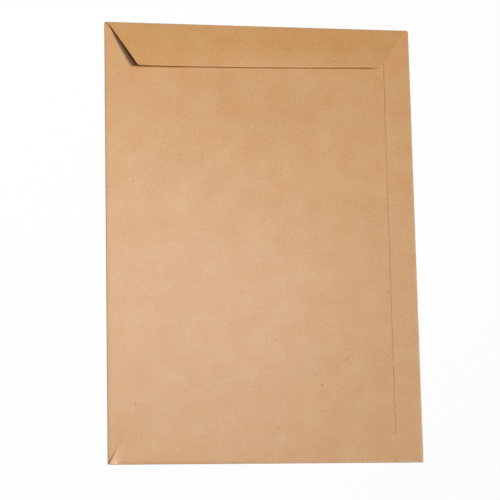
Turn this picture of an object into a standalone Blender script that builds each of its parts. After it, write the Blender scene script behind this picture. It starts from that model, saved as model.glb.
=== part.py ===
"""A C4 pocket envelope of brown kraft paper: one die-cut sheet, folded and glued.

It lies on its front panel with the flaps upward, as it would come to rest. The
origin is under the middle of the front panel, +X is to the right and +Y is towards
the top fold. The pocket between the two panels is open along its top, behind the
top flap, which is folded down but not stuck.
"""

import math

import bmesh
import bpy

MM = 0.001

# The sheet, and the size that it is folded to
PAPER = 0.15 * MM
WIDTH = 229 * MM
LENGTH = 324 * MM

# Depth of each flap, measured in from the outline
SEAM_DEPTH = 20 * MM
BOTTOM_DEPTH = 20 * MM
TOP_DEPTH_LEFT = 32.5 * MM
TOP_DEPTH_RIGHT = 30 * MM

# The flaps' ends lean in by these angles, and the top flap's corners are rounded
BOTTOM_LEAN = math.radians(29)
TOP_LEAN = math.radians(35.5)
TOP_CORNER_RADIUS = 2.5 * MM

# How far the paper rolled over a fold reaches in from the outline
FOLD_REACH = 0.4 * MM

# Room between a fold and the sheet's edges beside it: at the notches where two
# folds meet, and where the back panel stops short of the right fold
NOTCH_ROOM = 0.45 * MM
PANEL_ROOM = 1.0 * MM

# Room between the layers
POCKET_GAP = 0.4 * MM
GLUE_FILM = 0.04 * MM
FLAP_PLAY = 0.1 * MM

# The back panel swells a little, and the top flap springs up from its fold
SWELL = 1.0 * MM
SWELL_MARGIN = 8 * MM
SWELL_RISE = 60 * MM
FLAP_SPRING = 1.5 * MM
CORNER_SPRING = 3.5 * MM
SPRING_POWER = 1.2
CORNER_POWER = 3

# Glue bands, set in from the edges of the flaps that they hold, and the short
# slope where the bottom flap climbs onto the seam strip
GLUE_MARGIN = 3 * MM
STEP_OVER_SEAM = 1.5 * MM

# How finely the curved stretches are divided
FOLD_STEPS = 8
COLUMNS = 16
ROWS = 22
FLAP_STEPS = 5
CORNER_STEPS = 4
END_ROOM = 2 * MM
FLAT_ANGLE = math.radians(0.01)
WELD = 0.001 * MM

HALF_WIDTH = WIDTH / 2
HALF_LENGTH = LENGTH / 2
FOLD_LINE = PAPER / 2 + FOLD_REACH
CORNER_NOTCH = FOLD_LINE + PAPER / 2 + NOTCH_ROOM
TOP_SPAN = HALF_WIDTH - CORNER_NOTCH
SIDE_SPAN = HALF_LENGTH - CORNER_NOTCH

# Height of the middle of each layer of paper
LAYER = PAPER + GLUE_FILM
FRONT_Z = PAPER / 2
BACK_Z = FRONT_Z + PAPER + POCKET_GAP
SEAM_Z = BACK_Z + LAYER
TOP_Z = SEAM_Z + PAPER + FLAP_PLAY
SEAM_EDGE = HALF_WIDTH - SEAM_DEPTH
PANEL_EDGE = HALF_WIDTH - FOLD_LINE - PANEL_ROOM
GLUE_BITE = PAPER / 4

KRAFT_COLOUR = (0.69, 0.42, 0.235, 1.0)
KRAFT_ROUGHNESS = 0.85


def clear_scene():
    for item in list(bpy.data.objects):
        bpy.data.objects.remove(item, do_unlink=True)


def smooth(share):
    """Runs from 0 to 1 and is level at both ends."""
    share = min(max(share, 0.0), 1.0)
    return share * share * (3 - 2 * share)


def spread(start, end, count):
    """Even stations from start to end, both included."""
    return [start + (end - start) * i / count for i in range(count + 1)]


def back_height(x, y):
    """The back panel is level where flaps lie on it, and swells in the middle."""
    top_margin = max(TOP_DEPTH_LEFT, TOP_DEPTH_RIGHT) + SWELL_MARGIN
    bottom_margin = BOTTOM_DEPTH + SWELL_MARGIN
    side_margin = SEAM_DEPTH + SWELL_MARGIN
    across = smooth((HALF_WIDTH - side_margin - abs(x)) / SWELL_RISE)
    above = smooth((y + HALF_LENGTH - bottom_margin) / SWELL_RISE)
    below = smooth((HALF_LENGTH - top_margin - y) / SWELL_RISE)
    return BACK_Z + SWELL * across * above * below


def seam_height(x, y):
    return SEAM_Z


def bottom_height(x, y):
    """The bottom flap lies on the back panel and steps up over the seam strip."""
    step = smooth((x - SEAM_EDGE + STEP_OVER_SEAM) / STEP_OVER_SEAM)
    return SEAM_Z + LAYER * step


def top_depth(x):
    """The top flap is a little deeper at its left end."""
    share = (x + TOP_SPAN) / (2 * TOP_SPAN)
    return TOP_DEPTH_LEFT + (TOP_DEPTH_RIGHT - TOP_DEPTH_LEFT) * share


def top_height(x, y):
    """The top flap springs up from its fold, most of all at its left corner."""
    out = (HALF_LENGTH - y - FOLD_LINE) / (top_depth(x) - FOLD_LINE)
    out = min(max(out, 0.0), 1.0)
    left = (TOP_SPAN - x) / (2 * TOP_SPAN)
    spring = FLAP_SPRING + (CORNER_SPRING - FLAP_SPRING) * left**CORNER_POWER
    return TOP_Z + spring * out**SPRING_POWER


def end_inset(from_edge, depth, lean, radius):
    """How far a flap's end lies in from where its fold ends, near a free edge that
    is from_edge away, with the corner between the two rounded."""
    run = depth - FOLD_LINE
    if from_edge >= radius * (1 - math.sin(lean)):
        return (run - from_edge) * math.tan(lean)
    centre = radius * (1 - math.sin(lean)) / math.cos(lean)
    arc = math.sqrt(radius**2 - (radius - from_edge) ** 2)
    return run * math.tan(lean) + centre - arc


def drawn_in(along, span, inset, deepest):
    """Moves a station near a flap's end inward, and leaves the others alone."""
    zone = deepest + END_ROOM
    share = max(abs(along) - (span - zone), 0.0) / zone
    return along - math.copysign(inset * share, along)


def flap_rows(depth, lean, radius):
    """Distances from the free edge, from the fold line to the edge itself."""
    run = depth - FOLD_LINE
    rounded = radius * (1 - math.sin(lean))
    rows = spread(run, rounded, FLAP_STEPS)
    if radius:
        rows += spread(rounded, 0, CORNER_STEPS)[1:]
    return rows


def add_grid(bm, points):
    """Joins rows of points into a sheet of four-sided faces."""
    grid = [[bm.verts.new(point) for point in row] for row in points]
    for low, high in zip(grid, grid[1:]):
        for a, b, c, d in zip(low, low[1:], high[1:], high):
            bm.faces.new((a, b, c, d))


def rolled_fold(plan, height, stations):
    """Rows of points that roll the sheet from the front panel over onto a flap.

    plan(along, depth) gives x and y for a place along the fold, depth in from the
    outline.
    """
    rows = []
    for angle in spread(0, math.pi, FOLD_STEPS):
        depth = FOLD_LINE - FOLD_REACH * math.sin(angle)
        row = []
        for along in stations:
            level = height(*plan(along, FOLD_LINE))
            z = FRONT_Z + (level - FRONT_Z) * (1 - math.cos(angle)) / 2
            row.append((*plan(along, depth), z))
        rows.append(row)
    return rows


def add_front_panel(bm, columns, rows):
    columns = [FOLD_LINE - HALF_WIDTH, *columns, HALF_WIDTH - FOLD_LINE]
    rows = [FOLD_LINE - HALF_LENGTH, *rows, HALF_LENGTH - FOLD_LINE]
    add_grid(bm, [[(x, y, FRONT_Z) for x in columns] for y in rows])


def add_back_panel(bm, rows):
    """Hangs on the left fold and runs across under the seam strip."""

    def plan(y, depth):
        return depth - HALF_WIDTH, y

    points = rolled_fold(plan, back_height, rows)
    for depth in spread(FOLD_LINE, HALF_WIDTH + PANEL_EDGE, COLUMNS)[1:]:
        points.append([(*plan(y, depth), back_height(*plan(y, depth))) for y in rows])
    add_grid(bm, points)


def add_seam_strip(bm, rows):
    """Hangs on the right fold and is glued down on the back panel."""

    def plan(y, depth):
        return HALF_WIDTH - depth, y

    points = rolled_fold(plan, seam_height, rows)
    points.append([(*plan(y, SEAM_DEPTH), SEAM_Z) for y in rows])
    add_grid(bm, points)


def add_bottom_flap(bm, columns):
    """Hangs on the bottom fold and is glued down on the back panel and the seam."""

    def plan(x, depth):
        return x, depth - HALF_LENGTH

    points = rolled_fold(plan, bottom_height, columns)
    deepest = end_inset(0, BOTTOM_DEPTH, BOTTOM_LEAN, 0)
    for from_edge in flap_rows(BOTTOM_DEPTH, BOTTOM_LEAN, 0)[1:]:
        inset = end_inset(from_edge, BOTTOM_DEPTH, BOTTOM_LEAN, 0)
        row = []
        for along in columns:
            x = drawn_in(along, TOP_SPAN, inset, deepest)
            x, y = plan(x, BOTTOM_DEPTH - from_edge)
            row.append((x, y, bottom_height(x, y)))
        points.append(row)
    add_grid(bm, points)


def add_top_flap(bm, columns):
    """Hangs on the top fold and is folded down over the mouth, not stuck."""

    def plan(x, depth):
        return x, HALF_LENGTH - depth

    points = rolled_fold(plan, top_height, columns)
    mean_depth = (TOP_DEPTH_LEFT + TOP_DEPTH_RIGHT) / 2
    deepest = end_inset(0, mean_depth, TOP_LEAN, TOP_CORNER_RADIUS)
    for from_edge in flap_rows(mean_depth, TOP_LEAN, TOP_CORNER_RADIUS)[1:]:
        inset = end_inset(from_edge, mean_depth, TOP_LEAN, TOP_CORNER_RADIUS)
        share = 1 - from_edge / (mean_depth - FOLD_LINE)
        row = []
        for along in columns:
            x = drawn_in(along, TOP_SPAN, inset, deepest)
            depth = FOLD_LINE + (top_depth(x) - FOLD_LINE) * share
            x, y = plan(x, depth)
            row.append((x, y, top_height(x, y)))
        points.append(row)
    add_grid(bm, points)


def fold_sheet(name):
    """The whole folded sheet as one thin surface, halfway through the paper."""
    rows = spread(-SIDE_SPAN, SIDE_SPAN, ROWS)
    columns = spread(-TOP_SPAN, TOP_SPAN, COLUMNS)
    columns += [SEAM_EDGE - STEP_OVER_SEAM, SEAM_EDGE]
    columns.sort()
    bm = bmesh.new()
    add_front_panel(bm, columns, rows)
    add_back_panel(bm, rows)
    add_seam_strip(bm, rows)
    add_bottom_flap(bm, columns)
    add_top_flap(bm, columns)
    bmesh.ops.remove_doubles(bm, verts=bm.verts, dist=WELD)
    bmesh.ops.recalc_face_normals(bm, faces=bm.faces)
    bmesh.ops.dissolve_limit(
        bm, angle_limit=FLAT_ANGLE, verts=bm.verts, edges=bm.edges
    )
    mesh = bpy.data.meshes.new(name)
    bm.to_mesh(mesh)
    bm.free()
    sheet = bpy.data.objects.new(name, mesh)
    bpy.context.collection.objects.link(sheet)
    return sheet


def add_box(bm, x_range, y_range, z_range):
    corners = [(x, y, z) for z in z_range for y in y_range for x in x_range]
    verts = [bm.verts.new(corner) for corner in corners]
    sides = ((0, 2, 3, 1), (4, 5, 7, 6), (0, 1, 5, 4), (2, 6, 7, 3), (0, 4, 6, 2), (1, 3, 7, 5))
    for side in sides:
        bm.faces.new([verts[i] for i in side])


def glue_bands(name):
    """Films of dried glue that reach a little way into the paper on both sides."""
    film = GLUE_FILM + 2 * GLUE_BITE
    low = BACK_Z + PAPER / 2 - GLUE_BITE
    middle = SEAM_Z + PAPER / 2 - GLUE_BITE
    seam_strip = (SEAM_EDGE + GLUE_MARGIN, PANEL_EDGE - GLUE_MARGIN)
    seam_run = (GLUE_MARGIN - SIDE_SPAN, SIDE_SPAN - GLUE_MARGIN)
    bottom_end = TOP_SPAN - BOTTOM_DEPTH * math.tan(BOTTOM_LEAN) - GLUE_MARGIN
    bottom_strip = (GLUE_MARGIN - SIDE_SPAN, BOTTOM_DEPTH - GLUE_MARGIN - HALF_LENGTH)
    left_run = (-bottom_end, SEAM_EDGE - GLUE_MARGIN)
    right_run = (SEAM_EDGE + GLUE_MARGIN, bottom_end)
    bm = bmesh.new()
    add_box(bm, seam_strip, seam_run, (low, low + film))
    add_box(bm, left_run, bottom_strip, (low, low + film))
    add_box(bm, right_run, bottom_strip, (middle, middle + film))
    mesh = bpy.data.meshes.new(name)
    bm.to_mesh(mesh)
    bm.free()
    bands = bpy.data.objects.new(name, mesh)
    bpy.context.collection.objects.link(bands)
    bands.hide_render = True
    bands.display_type = "WIRE"
    return bands


def thicken(sheet):
    paper = sheet.modifiers.new("paper", "SOLIDIFY")
    paper.thickness = PAPER
    paper.offset = 0
    paper.use_even_offset = True
    paper.use_quality_normals = True


def glue(sheet, bands):
    union = sheet.modifiers.new("glue", "BOOLEAN")
    union.operation = "UNION"
    union.solver = "EXACT"
    union.object = bands


def kraft_material():
    material = bpy.data.materials.new("kraft_paper")
    material.use_nodes = True
    shader = material.node_tree.nodes["Principled BSDF"]
    shader.inputs["Base Color"].default_value = KRAFT_COLOUR
    shader.inputs["Roughness"].default_value = KRAFT_ROUGHNESS
    shader.inputs["Metallic"].default_value = 0.0
    return material


def main():
    clear_scene()
    envelope = fold_sheet("envelope")
    thicken(envelope)
    glue(envelope, glue_bands("glue_bands"))
    envelope.data.materials.append(kraft_material())


main()
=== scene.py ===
# %% [markdown]
# # A kraft pocket envelope
#
# The object is one sheet of brown kraft paper, cut to shape, folded and glued into a
# C4 pocket. It lies on its front panel with the flaps upward. The construction was
# packed as one solid, and this script gives that solid the look of real paper: a
# finer sheet with its small waves and springy flap, and a finish with fibres, specks,
# worn folds, and painted shade along the folds and beside the cut edges.

# %% Load the imported envelope
import math
from collections import namedtuple

import bmesh
import bpy
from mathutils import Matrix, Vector, kdtree, noise


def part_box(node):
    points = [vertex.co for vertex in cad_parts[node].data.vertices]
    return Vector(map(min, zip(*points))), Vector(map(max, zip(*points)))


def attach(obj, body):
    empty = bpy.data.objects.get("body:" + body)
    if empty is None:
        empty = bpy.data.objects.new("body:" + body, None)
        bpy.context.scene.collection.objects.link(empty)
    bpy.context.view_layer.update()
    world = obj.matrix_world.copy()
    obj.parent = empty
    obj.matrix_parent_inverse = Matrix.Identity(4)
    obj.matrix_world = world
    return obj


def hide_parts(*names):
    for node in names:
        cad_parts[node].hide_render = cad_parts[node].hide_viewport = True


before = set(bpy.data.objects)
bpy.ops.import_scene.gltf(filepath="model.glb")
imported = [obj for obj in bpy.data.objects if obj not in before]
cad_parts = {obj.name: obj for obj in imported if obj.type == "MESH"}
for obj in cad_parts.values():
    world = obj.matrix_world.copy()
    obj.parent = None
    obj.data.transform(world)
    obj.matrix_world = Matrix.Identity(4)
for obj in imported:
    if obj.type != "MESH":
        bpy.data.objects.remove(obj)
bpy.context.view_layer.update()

# %% [markdown]
# ## Sizes
#
# The folded width and length could be typed in again, but a second copy of a size is
# how two models drift apart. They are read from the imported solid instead. The paper's
# own facts, such as its thickness and how deep each flap is cut, are named here once.

# %% Sizes of the sheet, in metres
MM = 0.001
low_corner, high_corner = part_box("envelope")
WIDTH = high_corner[0] - low_corner[0]
LENGTH = high_corner[1] - low_corner[1]
HALF_WIDTH, HALF_LENGTH = WIDTH / 2, LENGTH / 2

PAPER = 0.15 * MM
SEAM_DEPTH = 20 * MM
BOTTOM_DEPTH = 20 * MM
TOP_DEPTH_LEFT = 34.2 * MM
TOP_DEPTH_RIGHT = 30.4 * MM
BOTTOM_LEAN = math.radians(29)
TOP_LEAN = math.radians(34.0)
TOP_SHOULDER = 1.8 * MM
CORNER_RADIUS = 2.5 * MM
print(f"folded size {WIDTH / MM:.1f} x {LENGTH / MM:.1f} mm")

# %% Heights of the layers and room at the folds
FOLD_REACH = 0.4 * MM
NOTCH_ROOM = 0.15 * MM
PANEL_ROOM = 1.0 * MM
POCKET_GAP = 0.4 * MM
GLUE_FILM = 0.04 * MM
FLAP_PLAY = 0.1 * MM

FOLD_LINE = PAPER / 2 + FOLD_REACH
CORNER_NOTCH = FOLD_LINE + PAPER / 2 + NOTCH_ROOM
TOP_SPAN = HALF_WIDTH - CORNER_NOTCH
SIDE_SPAN = HALF_LENGTH - CORNER_NOTCH
SEAM_EDGE = HALF_WIDTH - SEAM_DEPTH
LAYER = PAPER + GLUE_FILM
FRONT_Z = PAPER / 2
BACK_Z = FRONT_Z + PAPER + POCKET_GAP
SEAM_Z = BACK_Z + LAYER
TOP_Z = SEAM_Z + PAPER + FLAP_PLAY
ROLL = math.pi * (FOLD_REACH + BACK_Z - FRONT_Z) / 2
print(f"paper rolled into each fold {ROLL / MM:.2f} mm")

# %% [markdown]
# ## How paper lies
#
# No sheet of paper is a true plane. The pocket swells a little because its folds
# spring, and long shallow waves cross it from the way it was rolled and stored. A cloth
# simulation would give soft folds that paper can't have, so each of these is a small
# height field, added up. Slopes of less than one degree are enough: the light glides
# over the sheet and shows them.

# %% Swelling and waves of the back panel
SWELL = 0.5 * MM
SWELL_MARGIN = 8 * MM
SWELL_RISE = 60 * MM
WAVE = 0.22 * MM
WAVE_LENGTH = 62 * MM
WAVE_STRETCH = 0.45
WAVE_TURN = math.radians(48)
RIPPLE_SHARE = 0.35
RIPPLE_FINER = 2.3
STILL_EDGE = 26 * MM


def smooth(share):
    """Runs from 0 to 1 and is level at both ends."""
    share = min(max(share, 0.0), 1.0)
    return share * share * (3 - 2 * share)


def swell(x, y):
    top_margin = max(TOP_DEPTH_LEFT, TOP_DEPTH_RIGHT) + SWELL_MARGIN
    across = smooth((HALF_WIDTH - SEAM_DEPTH - SWELL_MARGIN - abs(x)) / SWELL_RISE)
    above = smooth((y + HALF_LENGTH - BOTTOM_DEPTH - SWELL_MARGIN) / SWELL_RISE)
    below = smooth((HALF_LENGTH - top_margin - y) / SWELL_RISE)
    return SWELL * across * above * below


def waves(x, y):
    """Long shallow waves that run up to the right, still near the folds."""
    along = x * math.cos(WAVE_TURN) + y * math.sin(WAVE_TURN)
    across = y * math.cos(WAVE_TURN) - x * math.sin(WAVE_TURN)
    place = Vector((along * WAVE_STRETCH, across, 0)) / WAVE_LENGTH
    size = noise.noise(place + Vector((3.1, 7.4, 0.5)))
    size += RIPPLE_SHARE * noise.noise(place * RIPPLE_FINER + Vector((9.2, 1.7, 4.5)))
    rest = min(HALF_WIDTH - abs(x), HALF_LENGTH - abs(y)) / STILL_EDGE
    return WAVE * size * smooth(rest)


print(f"the middle swells by {swell(0, 0) / MM:.2f} mm")

# %% [markdown]
# ### Glue and the open corner
#
# Glue wets the paper and then shrinks it, so the seam and the bottom flap are puckered
# where it dried. At the top, nothing holds the pocket shut, and its right corner opens
# by less than a millimetre. That corner is the one place where the sheet slopes by a
# few degrees, but only close to its fold.

# %% Puckers, and the corner that opens
PUCKER = 0.05 * MM
PUCKER_LENGTH = 15 * MM
PUCKER_MARGIN = 6 * MM
BOTTOM_SHARE = 0.6
LIFT = 0.8 * MM
LIFT_REACH = 12 * MM
LIFT_START_X, LIFT_ACROSS = -10 * MM, 100 * MM
LIFT_START_Y, LIFT_UP = 10 * MM, 110 * MM
PROBE = 4 * MM


def pucker(x, y):
    """Ripples that drying glue leaves along the seam and the bottom flap."""
    ripple_up = noise.noise(Vector((x / (4 * PUCKER_LENGTH), y / PUCKER_LENGTH, 2.7)))
    ripple_over = noise.noise(Vector((x / PUCKER_LENGTH, y / (4 * PUCKER_LENGTH), 8.3)))
    from_seam = (x - SEAM_EDGE + PUCKER_MARGIN) / (SEAM_DEPTH + PUCKER_MARGIN)
    wet_depth = BOTTOM_DEPTH + PUCKER_MARGIN
    from_bottom = (wet_depth - y - HALF_LENGTH) / wet_depth
    on_seam = smooth(2 * from_seam) * smooth(2 - 2 * from_seam)
    on_bottom = smooth(2 * from_bottom) * smooth(2 - 2 * from_bottom)
    return PUCKER * (ripple_up * on_seam + BOTTOM_SHARE * ripple_over * on_bottom)


def lift(x, y):
    """The pocket's upper right corner opens a little, so it slopes up from its fold."""
    share = smooth((x - LIFT_START_X) / LIFT_ACROSS) * smooth((y - LIFT_START_Y) / LIFT_UP)
    return LIFT * share * (1 - math.exp((y - HALF_LENGTH) / LIFT_REACH))


def lie(x, y):
    return swell(x, y) + waves(x, y) + pucker(x, y) + lift(x, y)


heights = [lie(x * PROBE, y * PROBE) / MM for x in range(-28, 29) for y in range(-40, 41)]
print(f"the back panel lies between {min(heights):.2f} and {max(heights):.2f} mm of level")

# %% [markdown]
# ## The flaps' heights
#
# The seam strip and the bottom flap are glued down, so they follow the back panel one
# layer up, and the bottom flap climbs a second layer where it crosses the seam. Its
# glue stops short of its slanted ends, and the left one has sprung up a little.

# %% Height of the glued flaps
STEP_OVER_SEAM = 1.5 * MM
END_SPRING = 0.9 * MM
END_SPRING_WIDTH = 7 * MM
END_SPRING_DEPTH = 14 * MM
RIGHT_END_SHARE = 0.15


def back_height(x, y):
    return BACK_Z + lie(x, y)


def seam_height(x, y):
    return SEAM_Z + lie(x, y)


def bottom_height(x, y):
    step = smooth((x - SEAM_EDGE + STEP_OVER_SEAM) / STEP_OVER_SEAM)
    depth = y + HALF_LENGTH
    from_end = TOP_SPAN - abs(x) - depth * math.tan(BOTTOM_LEAN)
    loose = smooth(1 - from_end / END_SPRING_WIDTH) * smooth(1 - depth / END_SPRING_DEPTH)
    loose *= 1.0 if x < 0 else RIGHT_END_SHARE
    return SEAM_Z + LAYER * step + lie(x, y) + END_SPRING * loose


print(f"the seam strip lies {(seam_height(0, 0) - back_height(0, 0)) / MM:.2f} mm up")

# %% [markdown]
# ### The top flap springs
#
# The top flap has never been stuck. It leaves its fold at a small angle, bows over
# where its outer half has dried stiffer, and springs up at its corners, the left one
# most. Under it the pocket's cut edge presses a faint step across it, which is the
# throat line. The height of the left corner was found from the shape of its shadow.

# %% Height of the top flap
FLAP_SLOPE = 0.11
FLAP_STRAIGHT = 12 * MM
FLAP_END_SLOPE = -0.05
THROAT_DEPTH = 12.4 * MM
THROAT_WIDTH = 1.2 * MM
THROAT_STEP = 0.045 * MM
LEFT_SPRING = 3.7 * MM
LEFT_REACH = 30 * MM
RIGHT_SPRING = 1.9 * MM
RIGHT_REACH = 45 * MM
SPRING_CURVE = 1.1


def top_depth(x):
    share = (x + TOP_SPAN) / (2 * TOP_SPAN)
    return TOP_DEPTH_LEFT + (TOP_DEPTH_RIGHT - TOP_DEPTH_LEFT) * share


def top_height(x, y):
    out = max(HALF_LENGTH - y - FOLD_LINE, 0.0)
    run = top_depth(x) - FOLD_LINE
    bowed = max(out - FLAP_STRAIGHT, 0.0)
    flatten = (FLAP_SLOPE - FLAP_END_SLOPE) / (2 * (run - FLAP_STRAIGHT))
    rise = FLAP_SLOPE * out - flatten * bowed**2
    rise += THROAT_STEP * smooth((out + FOLD_LINE - THROAT_DEPTH) / THROAT_WIDTH)
    drawn = out * math.tan(TOP_LEAN)
    from_left = max(TOP_SPAN + x - drawn, 0.0)
    from_right = max(TOP_SPAN - x - drawn, 0.0)
    left = LEFT_SPRING * math.exp(-from_left / LEFT_REACH)
    right = RIGHT_SPRING * math.exp(-from_right / RIGHT_REACH)
    return TOP_Z + lift(x, y) + rise + (left + right) * (out / run) ** SPRING_CURVE


free_edge = HALF_LENGTH - TOP_DEPTH_LEFT
print(f"the flap's free edge is {(top_height(0, free_edge) - BACK_Z) / MM:.1f} mm up")

# %% [markdown]
# ## From a blank to a folded sheet
#
# The envelope could be built as six loose plates, but a folded sheet has no gaps at
# its folds and its layers can't drift through each other. So every panel is a grid of
# points, each flap's grid starts with the paper rolled over its fold, and the grids
# share the points where they meet. Each point also remembers its place on the flat
# blank, so that fibres and specks later run over the folds as they do on real paper.

# %% Stations along the sheet
FOLD_STEPS = 12
GRID = 2.6 * MM
WELD = 0.001 * MM


def spread(start, end, step):
    """Even stations from start to end, both included, about one step apart."""
    count = max(round(abs(end - start) / step), 1)
    return [start + (end - start) * i / count for i in range(count + 1)]


rows = spread(-SIDE_SPAN, SIDE_SPAN, GRID)
columns = spread(-TOP_SPAN, SEAM_EDGE - STEP_OVER_SEAM, GRID)
columns += spread(SEAM_EDGE - STEP_OVER_SEAM, SEAM_EDGE, STEP_OVER_SEAM / 4)[1:]
columns += spread(SEAM_EDGE, TOP_SPAN, GRID)[1:]
print(len(columns), "stations across and", len(rows), "along")

# %% Grids that remember the blank
FOLD_FADE = 2.2 * MM

sheet = bmesh.new()
blank_place = sheet.verts.layers.float_vector.new("blank_place")
fold_nearness = sheet.verts.layers.float.new("fold_nearness")


def add_grid(points):
    """Joins rows of (place, place on the blank, nearness to a fold) into faces."""
    grid = []
    for row in points:
        line = []
        for place, flat, near in row:
            vert = sheet.verts.new(place)
            vert[blank_place] = (*flat, 0)
            vert[fold_nearness] = near
            line.append(vert)
        grid.append(line)
    for low, high in zip(grid, grid[1:]):
        for a, b, c, d in zip(low, low[1:], high[1:], high):
            sheet.faces.new((a, b, c, d))


def nearness(depth):
    """1 on a fold's roll, falling to 0 a few millimetres in from it."""
    return math.exp(-max(depth - FOLD_LINE, 0.0) / FOLD_FADE)


def unroll(depth):
    """How far out on the blank a point lies that is this deep on its flap."""
    return ROLL + depth - 2 * FOLD_LINE


print(f"a fold shows up to about {2 * FOLD_FADE / MM:.1f} mm in from its roll")

# %% [markdown]
# ### A fold is a tight roll
#
# Paper can't turn on a line. At a fold it runs round a tight roll, here 0.4 mm in
# radius, and as high as the layers that it has to reach around. A bevel on a finished
# mesh could round the edges too, but a roll that is built with its panel also keeps
# its place on the blank, so the fibres run round it.

# %% The sheet rolled over a fold
def rolled_fold(plan, blank, height, stations):
    """Rows of points that roll the sheet from the front panel over onto a flap."""
    points = []
    for step in range(FOLD_STEPS + 1):
        angle = math.pi * step / FOLD_STEPS
        depth = FOLD_LINE - FOLD_REACH * math.sin(angle)
        out = ROLL * step / FOLD_STEPS - FOLD_LINE
        row = []
        for along in stations:
            level = height(*plan(along, FOLD_LINE))
            z = FRONT_Z + (level - FRONT_Z) * (1 - math.cos(angle)) / 2
            row.append(((*plan(along, depth), z), blank(along, out), 1.0))
        points.append(row)
    return points


print(f"a fold has {FOLD_STEPS} steps")

# %% [markdown]
# ### Two panels
#
# The front panel lies flat on the table. The back panel hangs on its left fold and runs
# across, and it ends a little short of the right fold, so that the seam strip can close
# over it. Both use the same stations, so that every fold finds points to join on.

# %% The front and back panels
PANEL_EDGE = HALF_WIDTH - FOLD_LINE - PANEL_ROOM


def add_front_panel():
    across = [FOLD_LINE - HALF_WIDTH, *columns, HALF_WIDTH - FOLD_LINE]
    up = [FOLD_LINE - HALF_LENGTH, *rows, HALF_LENGTH - FOLD_LINE]
    points = []
    for y in up:
        row = []
        for x in across:
            near = nearness(min(HALF_WIDTH - abs(x), HALF_LENGTH - abs(y)))
            row.append(((x, y, FRONT_Z), (x, y), near))
        points.append(row)
    add_grid(points)


def add_back_panel():
    """Hangs on the left fold and runs across under the seam strip."""

    def plan(y, depth):
        return depth - HALF_WIDTH, y

    def blank(y, out):
        return -HALF_WIDTH - out, y

    points = rolled_fold(plan, blank, back_height, rows)
    for x in [*(x for x in columns if x < PANEL_EDGE - MM), PANEL_EDGE]:
        depth = x + HALF_WIDTH
        row = []
        for y in rows:
            flat = blank(y, unroll(depth) - FOLD_LINE)
            row.append(((x, y, back_height(x, y)), flat, nearness(depth)))
        points.append(row)
    add_grid(points)


add_front_panel()
add_back_panel()
print("panels done:", len(sheet.faces), "faces")

# %% [markdown]
# ### The seam strip
#
# A strip at the front panel's right side folds over and is glued on the back panel,
# which makes the tube of the envelope. Its cut edge is the thin line down the right
# side. The line is the strip's own step and its shadow, with a very faint painted shade
# beside the cut edge.

# %% The seam strip
def add_seam_strip():
    """Hangs on the right fold and is glued down on the back panel."""

    def plan(y, depth):
        return HALF_WIDTH - depth, y

    def blank(y, out):
        return HALF_WIDTH + out, y

    points = rolled_fold(plan, blank, seam_height, rows)
    for x in reversed([x for x in columns if x > SEAM_EDGE - WELD]):
        depth = HALF_WIDTH - x
        row = []
        for y in rows:
            flat = blank(y, unroll(depth) - FOLD_LINE)
            row.append(((x, y, seam_height(x, y)), flat, nearness(depth)))
        points.append(row)
    add_grid(points)


add_seam_strip()
print("with the seam strip:", len(sheet.faces), "faces")

# %% [markdown]
# ## Flaps with slanted ends
#
# Both end flaps are narrower at their free edge, so that they don't catch on the
# folds beside them, and the top flap's corners are rounded by the cutting die. The
# points near each end are drawn in row by row, which bends the grid instead of
# cutting it, and keeps the edge smooth. Rows stand closer where the corner turns and
# where the throat line runs.

# %% The outline of a flap
SHOULDER_RUN = 3 * MM
FLAP_GRID = 0.8 * GRID
CORNER_STEPS = 8
END_ROOM = 22 * MM

FlapShape = namedtuple("FlapShape", "depth_at depth lean radius shoulder close_rows")


def end_inset(from_edge, shape):
    """How far a flap's end lies in from where its fold ends."""
    run = shape.depth - FOLD_LINE
    start = shape.shoulder * smooth((run - from_edge) / SHOULDER_RUN)
    if from_edge >= shape.radius * (1 - math.sin(shape.lean)):
        return start + (run - from_edge) * math.tan(shape.lean)
    centre = shape.radius * (1 - math.sin(shape.lean)) / math.cos(shape.lean)
    arc = math.sqrt(shape.radius**2 - (shape.radius - from_edge) ** 2)
    return start + run * math.tan(shape.lean) + centre - arc


def flap_rows(shape):
    """How far each row of a flap lies from its free edge, the fold's side first."""
    run = shape.depth - FOLD_LINE
    rounded = shape.radius * (1 - math.sin(shape.lean))
    stations = {*spread(run, rounded, FLAP_GRID)[1:]}
    stations |= {run + FOLD_LINE - deep for deep in shape.close_rows}
    if shape.radius:
        turns = [math.pi / 2 * i / CORNER_STEPS for i in range(1, CORNER_STEPS + 1)]
        stations |= {rounded * (1 - math.sin(turn)) for turn in turns}
    return sorted(stations, reverse=True)


print(f"rows on a flap stand {FLAP_GRID / MM:.2f} mm apart")

# %% The points of a flap
def flap_points(plan, blank, height, shape):
    run = shape.depth - FOLD_LINE
    zone = end_inset(0, shape) + END_ROOM
    points = []
    for from_edge in flap_rows(shape):
        inset = end_inset(from_edge, shape)
        row = []
        for along in columns:
            share = max(abs(along) - (TOP_SPAN - zone), 0.0) / zone
            x = along - math.copysign(inset * share, along)
            deep = FOLD_LINE + (shape.depth_at(x) - FOLD_LINE) * (1 - from_edge / run)
            x, y = plan(x, deep)
            flat = blank(x, unroll(deep) - FOLD_LINE)
            row.append(((x, y, height(x, y)), flat, nearness(deep)))
        points.append(row)
    return points


print(f"the top flap's ends lean {math.degrees(TOP_LEAN):.1f} degrees")

# %% The bottom and top flaps
THROAT_GRID = 0.3 * MM


def add_bottom_flap():
    def plan(x, depth):
        return x, depth - HALF_LENGTH

    def blank(x, out):
        return x, -HALF_LENGTH - out

    points = rolled_fold(plan, blank, bottom_height, columns)
    shape = FlapShape(lambda x: BOTTOM_DEPTH, BOTTOM_DEPTH, BOTTOM_LEAN, 0, 0, [])
    add_grid(points + flap_points(plan, blank, bottom_height, shape))


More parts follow.
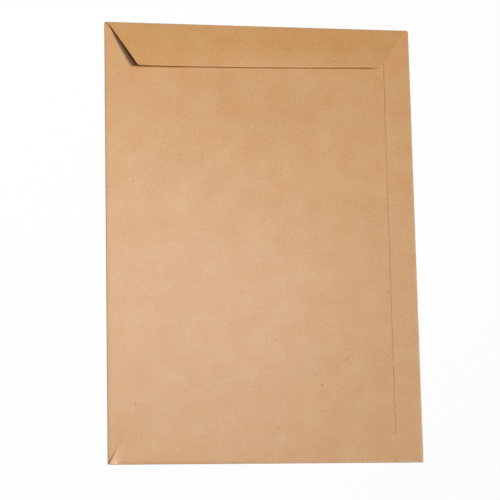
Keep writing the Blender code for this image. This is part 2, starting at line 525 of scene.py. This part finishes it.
def add_top_flap():
    def plan(x, depth):
        return x, HALF_LENGTH - depth

    def blank(x, out):
        return x, HALF_LENGTH + out

    points = rolled_fold(plan, blank, top_height, columns)
    mean_depth = (TOP_DEPTH_LEFT + TOP_DEPTH_RIGHT) / 2
    throat = spread(THROAT_DEPTH - MM, THROAT_DEPTH + THROAT_WIDTH + MM, THROAT_GRID)
    shape = FlapShape(top_depth, mean_depth, TOP_LEAN, CORNER_RADIUS, TOP_SHOULDER, throat)
    add_grid(points + flap_points(plan, blank, top_height, shape))


add_bottom_flap()
add_top_flap()
print("whole sheet:", len(sheet.faces), "faces")

# %% [markdown]
# ## One sheet, with a known distance to its cuts
#
# The grids are joined where they meet. What is still an open edge then is a cut, and
# each point remembers how far it lies from the nearest one, measured on the blank: a
# cut edge is raw fibre, and the finishes need to know where it is.

# %% Weld, and measure to the cut edges
bmesh.ops.remove_doubles(sheet, verts=sheet.verts, dist=WELD)
bmesh.ops.recalc_face_normals(sheet, faces=sheet.faces)

CUT_STEP = 0.3 * MM
CUT_REACH = 8 * MM
cut_points = []
for edge in sheet.edges:
    if edge.is_boundary:
        first, last = (vert[blank_place] for vert in edge.verts)
        steps = max(math.ceil((last - first).length / CUT_STEP), 1)
        cut_points += [first.lerp(last, i / steps) for i in range(steps + 1)]
cut_tree = kdtree.KDTree(len(cut_points))
for index, point in enumerate(cut_points):
    cut_tree.insert(point, index)
cut_tree.balance()
cut_distance = sheet.verts.layers.float.new("cut_distance")
for vert in sheet.verts:
    distance = cut_tree.find(vert[blank_place])[2]
    vert[cut_distance] = min(distance, CUT_REACH) / MM
print(len(cut_points), "points along the cut edges")

# %% [markdown]
# ## Giving the sheet its thickness
#
# The surface becomes paper 0.15 mm thick. The Solidify modifier also gives the inner
# side and the cut rim their own materials. The finished mesh is kept, not the modifier,
# so that its cut edges can be marked sharp while everything else is shaded smooth: a
# raw paper edge is crisp, a fold isn't.

# %% Give the sheet its thickness
SHARP_ANGLE = math.radians(50)

sheet_mesh = bpy.data.meshes.new("kraft_envelope")
sheet.to_mesh(sheet_mesh)
sheet.free()
envelope = bpy.data.objects.new("kraft_envelope", sheet_mesh)
bpy.context.collection.objects.link(envelope)

paper = envelope.modifiers.new("paper", "SOLIDIFY")
paper.thickness = PAPER
paper.offset = 0
paper.use_even_offset = True
paper.use_quality_normals = True
paper.material_offset = 1
paper.material_offset_rim = 2

graph = bpy.context.evaluated_depsgraph_get()
thick_mesh = bpy.data.meshes.new_from_object(envelope.evaluated_get(graph))
envelope.modifiers.clear()
envelope.data = thick_mesh
thick_mesh.name = "kraft_envelope"
thick_mesh.polygons.foreach_set("use_smooth", [True] * len(thick_mesh.polygons))
thick_mesh.set_sharp_from_angle(angle=SHARP_ANGLE)
thick_mesh.update()
print("thick mesh:", len(thick_mesh.polygons), "faces")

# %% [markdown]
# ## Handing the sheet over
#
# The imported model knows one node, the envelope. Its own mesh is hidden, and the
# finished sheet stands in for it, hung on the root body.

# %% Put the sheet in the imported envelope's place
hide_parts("envelope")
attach(envelope, "root")
lowest = min(vert.co.z for vert in thick_mesh.vertices)
highest = max(vert.co.z for vert in thick_mesh.vertices)
triangles = sum(len(face.vertices) - 2 for face in thick_mesh.polygons)
print(f"{triangles} triangles, from {lowest / MM:.3f} to {highest / MM:.2f} mm")

# %% [markdown]
# ## Kraft paper, from far to near
#
# Kraft paper is unbleached pulp, so its brown is the wood's own. From a step away it
# is one warm tan with faint clouds, where the pulp settled thicker or thinner. Close
# up there are long pale and dark fibres, lying mostly along the machine direction, and
# now and then a dark speck of bark. A picture of paper would show all this too, but a
# procedural finish has no seams, no edge and no fixed sharpness. Each effect is a node
# group in millimetres on the blank, so that the glazed side, the matt side and the cut
# edges can all share it.

# %% A short way to place nodes
def place_node(tree, kind, inputs, **settings):
    """Adds a node. An input is a plain value, or the socket that feeds it."""
    node = tree.nodes.new(kind)
    for name, value in settings.items():
        setattr(node, name, value)
    for name, value in inputs.items():
        if isinstance(value, bpy.types.NodeSocket):
            tree.links.new(value, node.inputs[name])
        else:
            node.inputs[name].default_value = value
    return node.outputs


def calculate(tree, operation, *values, clamp=False):
    settings = {"operation": operation, "use_clamp": clamp}
    return place_node(tree, "ShaderNodeMath", dict(enumerate(values)), **settings)[0]


def ramp(tree, value, low, high):
    """0 below low, 1 above high, and smooth between."""
    inputs = {"Value": value, "From Min": low, "From Max": high}
    return place_node(tree, "ShaderNodeMapRange", inputs, interpolation_type="SMOOTHSTEP")[0]


def flat_noise(tree, place, size, **more):
    """A noise whose patches are about this many millimetres across."""
    inputs = {"Vector": place, "Scale": 1 / size, **more}
    return place_node(tree, "ShaderNodeTexNoise", inputs, noise_dimensions="2D")[0]


def new_group(name, inputs, outputs):
    """A node group with a place and named numbers going in, and masks coming out."""
    tree = bpy.data.node_groups.new(name, "ShaderNodeTree")
    tree.interface.new_socket("Place", in_out="INPUT", socket_type="NodeSocketVector")
    for label, value in inputs.items():
        socket = tree.interface.new_socket(label, in_out="INPUT", socket_type="NodeSocketFloat")
        socket.default_value = value
    for label in outputs:
        tree.interface.new_socket(label, in_out="OUTPUT", socket_type="NodeSocketFloat")
    return tree, tree.nodes.new("NodeGroupInput").outputs, tree.nodes.new("NodeGroupOutput").inputs


print("helpers ready")

# %% [markdown]
# ### Pulp clouds
#
# Pulp is a suspension, and it drains through the wire mesh a little unevenly. Held to
# the light, the sheet looks cloudy; lying flat, it only varies by a few parts in a
# hundred. Three sizes of noise stand for it: grain about a millimetre across, flocs of
# a few millimetres, and wide soft patches. A fourth noise is kept apart as a tint. It
# lets the brown drift a little between yellower and redder, as pulps of several
# cooks do when they are mixed.

# %% Node group: pulp clouds
GRAIN_SIZE, FLOC_SIZE, TINT_SIZE, PATCH_SIZE = 1.5, 4.0, 18.0, 36.0

clouds, start, end = new_group(
    "Pulp clouds", {"Grain": 0.1, "Floc": 0.1, "Patch": 0.1}, ["Cloud", "Tint"]
)
grain = flat_noise(clouds, start["Place"], GRAIN_SIZE, Detail=2.0)
floc = flat_noise(clouds, start["Place"], FLOC_SIZE, Detail=3.0)
patch = flat_noise(clouds, start["Place"], PATCH_SIZE, Detail=2.0)
tint = flat_noise(clouds, start["Place"], TINT_SIZE, Detail=2.0)
cloud = calculate(clouds, "MULTIPLY", calculate(clouds, "SUBTRACT", grain, 0.5), start["Grain"])
for field, label in ((floc, "Floc"), (patch, "Patch")):
    swing = calculate(clouds, "SUBTRACT", field, 0.5)
    cloud = calculate(clouds, "MULTIPLY_ADD", swing, start[label], cloud)
clouds.links.new(cloud, end["Cloud"])
clouds.links.new(calculate(clouds, "SUBTRACT", tint, 0.5), end["Tint"])
print(clouds.name, "has", len(clouds.nodes), "nodes")

# %% [markdown]
# ### Fibres
#
# A softwood fibre is about three millimetres long and thinner than a hair. Thousands
# of little curves would be far too heavy, but there is a trick: where a stretched
# noise crosses its middle value, it draws a thin winding line. Two such fields, turned
# a little to either side of the machine direction, give a crossing web, and a second
# noise breaks the lines into short lengths.

# %% Node group: fibres
FIBRE_TURN = math.radians(26)
FIBRE_SPAN = (0.7, 3.2)
FIBRE_BREAK = 1.7
FIBRE_PIECES = (0.46, 0.6)

fibres, start, end = new_group("Fibres", {"Width": 0.05, "Shift": 0.0}, ["Fibre", "Felt"])
shift = place_node(fibres, "ShaderNodeCombineXYZ", {"X": start["Shift"], "Y": start["Shift"]})
moved = place_node(
    fibres, "ShaderNodeVectorMath", {0: start["Place"], 1: shift[0]}, operation="ADD"
)[0]
strands, felts = [], []
for side in (-1, 1):
    squeeze = (1 / FIBRE_SPAN[0], 1 / FIBRE_SPAN[1], 1)
    turn = {"Vector": moved, "Rotation": (0, 0, side * FIBRE_TURN)}
    turned = place_node(fibres, "ShaderNodeMapping", turn)[0]
    stretched = place_node(
        fibres, "ShaderNodeVectorMath", {0: turned, 1: squeeze}, operation="MULTIPLY"
    )[0]
    field = flat_noise(fibres, stretched, 1.0, Detail=1.0, Distortion=0.4)
    from_middle = calculate(fibres, "ABSOLUTE", calculate(fibres, "SUBTRACT", field, 0.5))
    across = calculate(fibres, "DIVIDE", from_middle, start["Width"])
    strands.append(calculate(fibres, "SUBTRACT", 1.0, across, clamp=True))
    felts.append(field)
breaks = flat_noise(fibres, moved, FIBRE_BREAK, Detail=1.0)
pieces = ramp(fibres, breaks, *FIBRE_PIECES)
strand = calculate(fibres, "MAXIMUM", *strands)
fibres.links.new(calculate(fibres, "MULTIPLY", strand, pieces), end["Fibre"])
fibres.links.new(calculate(fibres, "ADD", *felts), end["Felt"])
print(fibres.name, "has", len(fibres.nodes), "nodes")

# %% [markdown]
# ### Bark specks
#
# Unbleached pulp carries a little bark and knot wood, which stays as dark brown specks
# under a millimetre across. They are rare and scattered without order. A Voronoi
# texture gives every cell one point and one random colour: its red decides if the cell
# has a speck at all, and its green how big the speck is.

# %% Node group: specks
SPECK_WOBBLE = 0.8
SMALLEST_SPECK = 0.4

specks, start, end = new_group(
    "Bark specks", {"Spacing": 20.0, "Share": 0.1, "Radius": 0.5}, ["Speck"]
)
per_mm = calculate(specks, "DIVIDE", 1.0, start["Spacing"])
cells = place_node(
    specks,
    "ShaderNodeTexVoronoi",
    {"Vector": start["Place"], "Scale": per_mm},
    voronoi_dimensions="2D",
)
chance = place_node(specks, "ShaderNodeSeparateColor", {"Color": cells["Color"]})
wobble = calculate(specks, "ADD", flat_noise(specks, start["Place"], SPECK_WOBBLE), 0.5)
away = calculate(specks, "MULTIPLY", cells["Distance"], start["Spacing"])
away = calculate(specks, "MULTIPLY", away, wobble)
radius = calculate(specks, "ADD", chance["Green"], SMALLEST_SPECK)
radius = calculate(specks, "MULTIPLY", radius, start["Radius"])
spot = calculate(specks, "SUBTRACT", 1.0, calculate(specks, "DIVIDE", away, radius), clamp=True)
present = calculate(specks, "LESS_THAN", chance["Red"], start["Share"])
specks.links.new(calculate(specks, "MULTIPLY", spot, present), end["Speck"])
print(specks.name, "has", len(specks.nodes), "nodes")

# %% [markdown]
# ### Worn folds, and painted shade on folds and cut edges
#
# Folding cracks the glaze, so a fold's crest is duller. The crest is also painted a
# shade darker, more in some places than in others: this is painted shade, for the roll
# that turns away from the light. On the cut edge itself the raw pale fibre shows, and
# the glazed side beside it gets only a very faint painted shade. The sheet already knows
# how near each point is to a fold and to a cut, so one group turns such a nearness into
# a broken line.

# %% Node group: wear, and painted shade on folds and cuts
SCUFF_SIZE = 1.4
WORN_FROM, WORN_THROUGH = 0.7, 1.2

wear_and_shade, start, end = new_group("Wear and shade", {"Near": 0.0, "Amount": 0.5}, ["Worn"])
scuffs = flat_noise(wear_and_shade, start["Place"], SCUFF_SIZE, Detail=4.0, Roughness=0.7)
scuffed = calculate(wear_and_shade, "ADD", scuffs, start["Amount"])
broken = ramp(wear_and_shade, scuffed, WORN_FROM, WORN_THROUGH)
wear_and_shade.links.new(calculate(wear_and_shade, "MULTIPLY", start["Near"], broken), end["Worn"])
print(wear_and_shade.name, "has", len(wear_and_shade.nodes), "nodes")

# %% [markdown]
# ### The three finishes of one sheet
#
# The outer side was pressed against a hot polished cylinder while it dried, which
# gives it a soft gloss. The inner side stayed matt, and the cut edge is bare fibre.
# They are the same pulp, so one function builds all three and only its numbers change.
# The gloss comes from the shader and not from paint: a tan picked straight off a
# shiny sheet is too pale, because the lamps' own white is mixed into it.

# %% Kraft colours, in linear light
TINT_TURN = 0.015
TINT_FADE = -0.12
KRAFT = (0.66, 0.348, 0.134, 1)
PALE_FIBRE = (0.78, 0.50, 0.26, 1)
# The next colour serves the dark fibres, and also a faint painted shade beside the cut edges.
DARK_FIBRE_AND_SHADE = (0.33, 0.13, 0.035, 1)
BARK = (0.10, 0.04, 0.015, 1)
# The next colour is painted shade for the fold crests.
FOLD_CREST_SHADE = (0.34, 0.22, 0.13, 1)


def use_group(tree, group, **inputs):
    node = tree.nodes.new("ShaderNodeGroup")
    node.node_tree = group
    for name, value in inputs.items():
        if isinstance(value, bpy.types.NodeSocket):
            tree.links.new(value, node.inputs[name])
        else:
            node.inputs[name].default_value = value
    return node.outputs


def lay_over(tree, below, above, share):
    """Mixes one colour over another, as far as a mask says."""
    inputs = {0: share, 6: below, 7: above}
    return place_node(tree, "ShaderNodeMix", inputs, data_type="RGBA")[2]


print("kraft", KRAFT[:3], "with bark", BARK[:3])

# %% [markdown]
# ### The tone of the paper
#
# Each mark is a mask from a group, and a colour to lay over what is below it. They go
# on in the order in which they come about: clouds and tint while the pulp drains, then
# fibres and bark, and last a painted shade on the folds and beside the cuts. The fibres
# and clouds also give a height, which raises the felt of the paper by about a hundredth
# of a millimetre.

# %% The tone of the paper
FELT_SHARE = 0.5
CLOUD_HEIGHT = 4.0


def paper_tone(tree, place, near_fold, near_cut):
    """The sheet's colour: clouds, fibres, specks, and painted shade on folds and cut edges."""
    cloud = use_group(tree, clouds, Place=place, Grain=0.24, Floc=0.07, Patch=0.05)
    drift = {
        "Color": KRAFT,
        "Hue": calculate(tree, "MULTIPLY_ADD", cloud["Tint"], TINT_TURN, 0.5),
        "Saturation": calculate(tree, "MULTIPLY_ADD", cloud["Tint"], TINT_FADE, 1.0),
        "Value": calculate(tree, "ADD", cloud["Cloud"], 1.0),
    }
    tone = place_node(tree, "ShaderNodeHueSaturation", drift)[0]
    pale = use_group(tree, fibres, Place=place, Width=0.06, Shift=0.0)
    dark = use_group(tree, fibres, Place=place, Width=0.04, Shift=37.0)
    speck = use_group(tree, specks, Place=place, Spacing=17.0, Share=0.10, Radius=0.75)
    fleck = use_group(tree, specks, Place=place, Spacing=5.0, Share=0.12, Radius=0.3)
    crest = use_group(tree, wear_and_shade, Place=place, Near=near_fold, Amount=0.45)
    edge = use_group(tree, wear_and_shade, Place=place, Near=near_cut, Amount=0.75)
    marks = (
        (PALE_FIBRE, pale["Fibre"], 0.13),
        (DARK_FIBRE_AND_SHADE, dark["Fibre"], 0.16),
        (BARK, speck["Speck"], 0.7),
        (BARK, fleck["Speck"], 0.6),
        # The last two marks are painted shade: a darker fold crest, and a very faint darkening
        # beside the cut edges.
        (FOLD_CREST_SHADE, crest["Worn"], 0.45),
        (DARK_FIBRE_AND_SHADE, edge["Worn"], 0.02),
    )
    for colour, mask, strength in marks:
        tone = lay_over(tree, tone, colour, calculate(tree, "MULTIPLY", mask, strength))
    relief = calculate(tree, "MULTIPLY_ADD", pale["Felt"], FELT_SHARE, pale["Fibre"])
    relief = calculate(tree, "MULTIPLY_ADD", cloud["Cloud"], CLOUD_HEIGHT, relief)
    return tone, relief, crest["Worn"]


print("paper_tone mixes six marks over the kraft", KRAFT[:3])

# %% [markdown]
# ### Gloss and felt
#
# The three finishes differ most in roughness. The glazed side is smooth enough to show
# a lamp as a broad sheen, and it is duller where a fold has cracked it. The specular
# level is the same all over, so it is a plain number on the shader. The cut edge gets
# an extra coat of pale raw fibre.

# %% The glazed side, the matt side and the cut edge
FELT_HEIGHT = 0.012 * MM
CREST_FOCUS = 3.0
FRAY_AND_SHADE_REACH = 0.9
RAW_SHARE = 0.6
WORN_DULLNESS = 0.25


def kraft_finish(name, roughness, relief_strength, raw=False):
    material = bpy.data.materials.new(name)
    material.use_nodes = True
    tree = material.node_tree
    shader = tree.nodes["Principled BSDF"]
    blank = place_node(tree, "ShaderNodeAttribute", {}, attribute_name="blank_place")
    inputs = {0: blank["Vector"], "Scale": 1 / MM}
    place = place_node(tree, "ShaderNodeVectorMath", inputs, operation="SCALE")[0]
    fold = place_node(tree, "ShaderNodeAttribute", {}, attribute_name="fold_nearness")
    cut = place_node(tree, "ShaderNodeAttribute", {}, attribute_name="cut_distance")
    near_fold = calculate(tree, "POWER", fold["Fac"], CREST_FOCUS)
    # Near a cut: raw fibre on the cut rim, and a faint painted shade on the sides beside it.
    near_cut = ramp(tree, cut["Fac"], FRAY_AND_SHADE_REACH, 0.0)
    tone, relief, worn = paper_tone(tree, place, near_fold, near_cut)
    if raw:
        frayed = calculate(tree, "MULTIPLY", near_cut, RAW_SHARE)
        tone = lay_over(tree, tone, PALE_FIBRE, frayed)
    dull = calculate(tree, "MULTIPLY_ADD", worn, WORN_DULLNESS, roughness)
    bump = place_node(
        tree,
        "ShaderNodeBump",
        {"Height": relief, "Strength": relief_strength, "Distance": FELT_HEIGHT},
    )
    tree.links.new(tone, shader.inputs["Base Color"])
    tree.links.new(dull, shader.inputs["Roughness"])
    tree.links.new(bump[0], shader.inputs["Normal"])
    shader.inputs["Specular IOR Level"].default_value = 1.0 if not raw else 0.5
    return material


for finish in (
    kraft_finish("kraft_glazed", 0.26, 0.6),
    kraft_finish("kraft_matt", 0.75, 1.0),
    kraft_finish("kraft_cut", 0.85, 1.0, raw=True),
):
    envelope.data.materials.append(finish)
    print(finish.name, "has", len(finish.node_tree.nodes), "nodes")

# %% [markdown]
# ## The photograph's camera
#
# The camera stands about 1.4 m above the envelope, a little to its left and below it,
# so the top of the sheet looks slightly smaller. It is a long lens. Place and turn
# come from the four corners of the envelope: four corners of a known rectangle are
# enough to work out where a picture was taken from. They meet those of the photograph
# to within three pixels.

# %% Camera
camera_data = bpy.data.cameras.new("camera")
camera_data.sensor_width = 36
camera_data.lens = 144
camera = bpy.data.objects.new("camera", camera_data)
camera.location = (-0.256, -0.272, 1.408)
camera.rotation_mode = "ZYX"
camera.rotation_euler = (math.radians(10.66), math.radians(-9.76), math.radians(0.62))
bpy.context.collection.objects.link(camera)
bpy.context.scene.camera = camera
print("camera at", tuple(camera.location))

# %% [markdown]
# ## Lamps
#
# One large soft lamp stands far out on the right, and points well past the envelope to
# its upper left. Only the flank of its beam falls on the sheet, so the light is
# strongest at the upper left and fades gently to the lower right. It also draws the
# long dark wedge beside the flap's left end, whose width tells how steep the light
# falls. A weak softbox beside the camera is there for its reflection: it lies on the
# left half of the glazed side as a pale sheen. A faint reflector from the left keeps
# the wedge brown. A spot with a wide radius was chosen over an area lamp for the large
# one, because its beam can fade without grain.

# %% Lamps
def hang_lamp(lamp_data, place, target):
    lamp = bpy.data.objects.new(lamp_data.name, lamp_data)
    lamp.location = place
    lamp.rotation_euler = (Vector(target) - Vector(place)).to_track_quat("-Z", "Y").to_euler()
    bpy.context.collection.objects.link(lamp)


def softbox(name, place, target, size, power):
    lamp_data = bpy.data.lights.new(name, "AREA")
    lamp_data.shape = "RECTANGLE"
    lamp_data.size, lamp_data.size_y = size
    lamp_data.energy = power
    hang_lamp(lamp_data, place, target)


def soft_spot(name, place, target, radius, cone, power):
    lamp_data = bpy.data.lights.new(name, "SPOT")
    lamp_data.shadow_soft_size = radius
    lamp_data.spot_size, lamp_data.spot_blend = math.radians(cone), 1.0
    lamp_data.energy = power
    hang_lamp(lamp_data, place, target)


soft_spot("side_lamp", (3.43, -0.30, 4.915), (-1.15, 0.5, 0), radius=0.9, cone=36, power=2150)
softbox("overhead_softbox", (0.08, 0.20, 1.467), (0, 0, 0), size=(0.6, 0.45), power=2.3)
softbox("left_reflector", (-0.45, 0.0, 0.40), (0, 0, 0), size=(0.3, 0.3), power=0.15)
print(len(bpy.data.lights), "lamps")

# %% [markdown]
# ## Air and floor
#
# The background of the picture is pure white, but light strong enough to burn a white
# floor out would burn the paper out too. So the floor glows white only where a camera,
# a reflection or a view through something sees it, and gives the envelope no extra
# light. A tenth of its real shading is mixed in, which keeps the envelope's soft
# shadow. The floor is wide enough to fill every view from above, so the air around it
# needs no colour of its own, only a touch of light.

# %% Air
AIR_LIGHT = 0.02

world = bpy.data.worlds.new("studio")
bpy.context.scene.world = world
world.use_nodes = True
tree = world.node_tree
air = tree.nodes["Background"]
air.inputs["Color"].default_value = (1, 1, 1, 1)
air.inputs["Strength"].default_value = AIR_LIGHT
print("light from the air", AIR_LIGHT)

# %% The white floor
FLOOR_REACH = 30
FLOOR_DROP = 0.02 * MM
FLOOR_GLOW = 0.9

floor_mesh = bpy.data.meshes.new("floor")
shape = bmesh.new()
bmesh.ops.create_grid(shape, x_segments=1, y_segments=1, size=FLOOR_REACH)
shape.to_mesh(floor_mesh)
shape.free()
floor = bpy.data.objects.new("floor", floor_mesh)
floor.location = (0, 0, -FLOOR_DROP)
bpy.context.collection.objects.link(floor)
print(f"floor {2 * FLOOR_REACH} m wide")

# %% [markdown]
# ### The floor's glow
#
# The Light Path node tells what kind of ray has arrived. Rays from the camera and from
# reflections see the glow, and the rays that carry the lamps' light see plain white
# paint.

# %% The floor's material
floor_material = bpy.data.materials.new("floor_white")
floor_material.use_nodes = True
tree = floor_material.node_tree
shader = tree.nodes["Principled BSDF"]
shader.inputs["Base Color"].default_value = (0.95, 0.95, 0.95, 1)
shader.inputs["Specular IOR Level"].default_value = 0.0
path = place_node(tree, "ShaderNodeLightPath", {})
seen = calculate(tree, "MAXIMUM", path["Is Camera Ray"], path["Is Glossy Ray"])
seen = calculate(tree, "MAXIMUM", seen, path["Is Transmission Ray"])
glow = place_node(tree, "ShaderNodeEmission", {"Color": (1, 1, 1, 1), "Strength": 1.0})
blend = place_node(
    tree,
    "ShaderNodeMixShader",
    {0: calculate(tree, "MULTIPLY", seen, FLOOR_GLOW), 1: shader.outputs[0], 2: glow[0]},
)
tree.links.new(blend[0], tree.nodes["Material Output"].inputs["Surface"])
floor.data.materials.append(floor_material)
print(floor_material.name, "glows with strength", FLOOR_GLOW)

# %% Plain view transform
bpy.context.scene.view_settings.view_transform = "Standard"
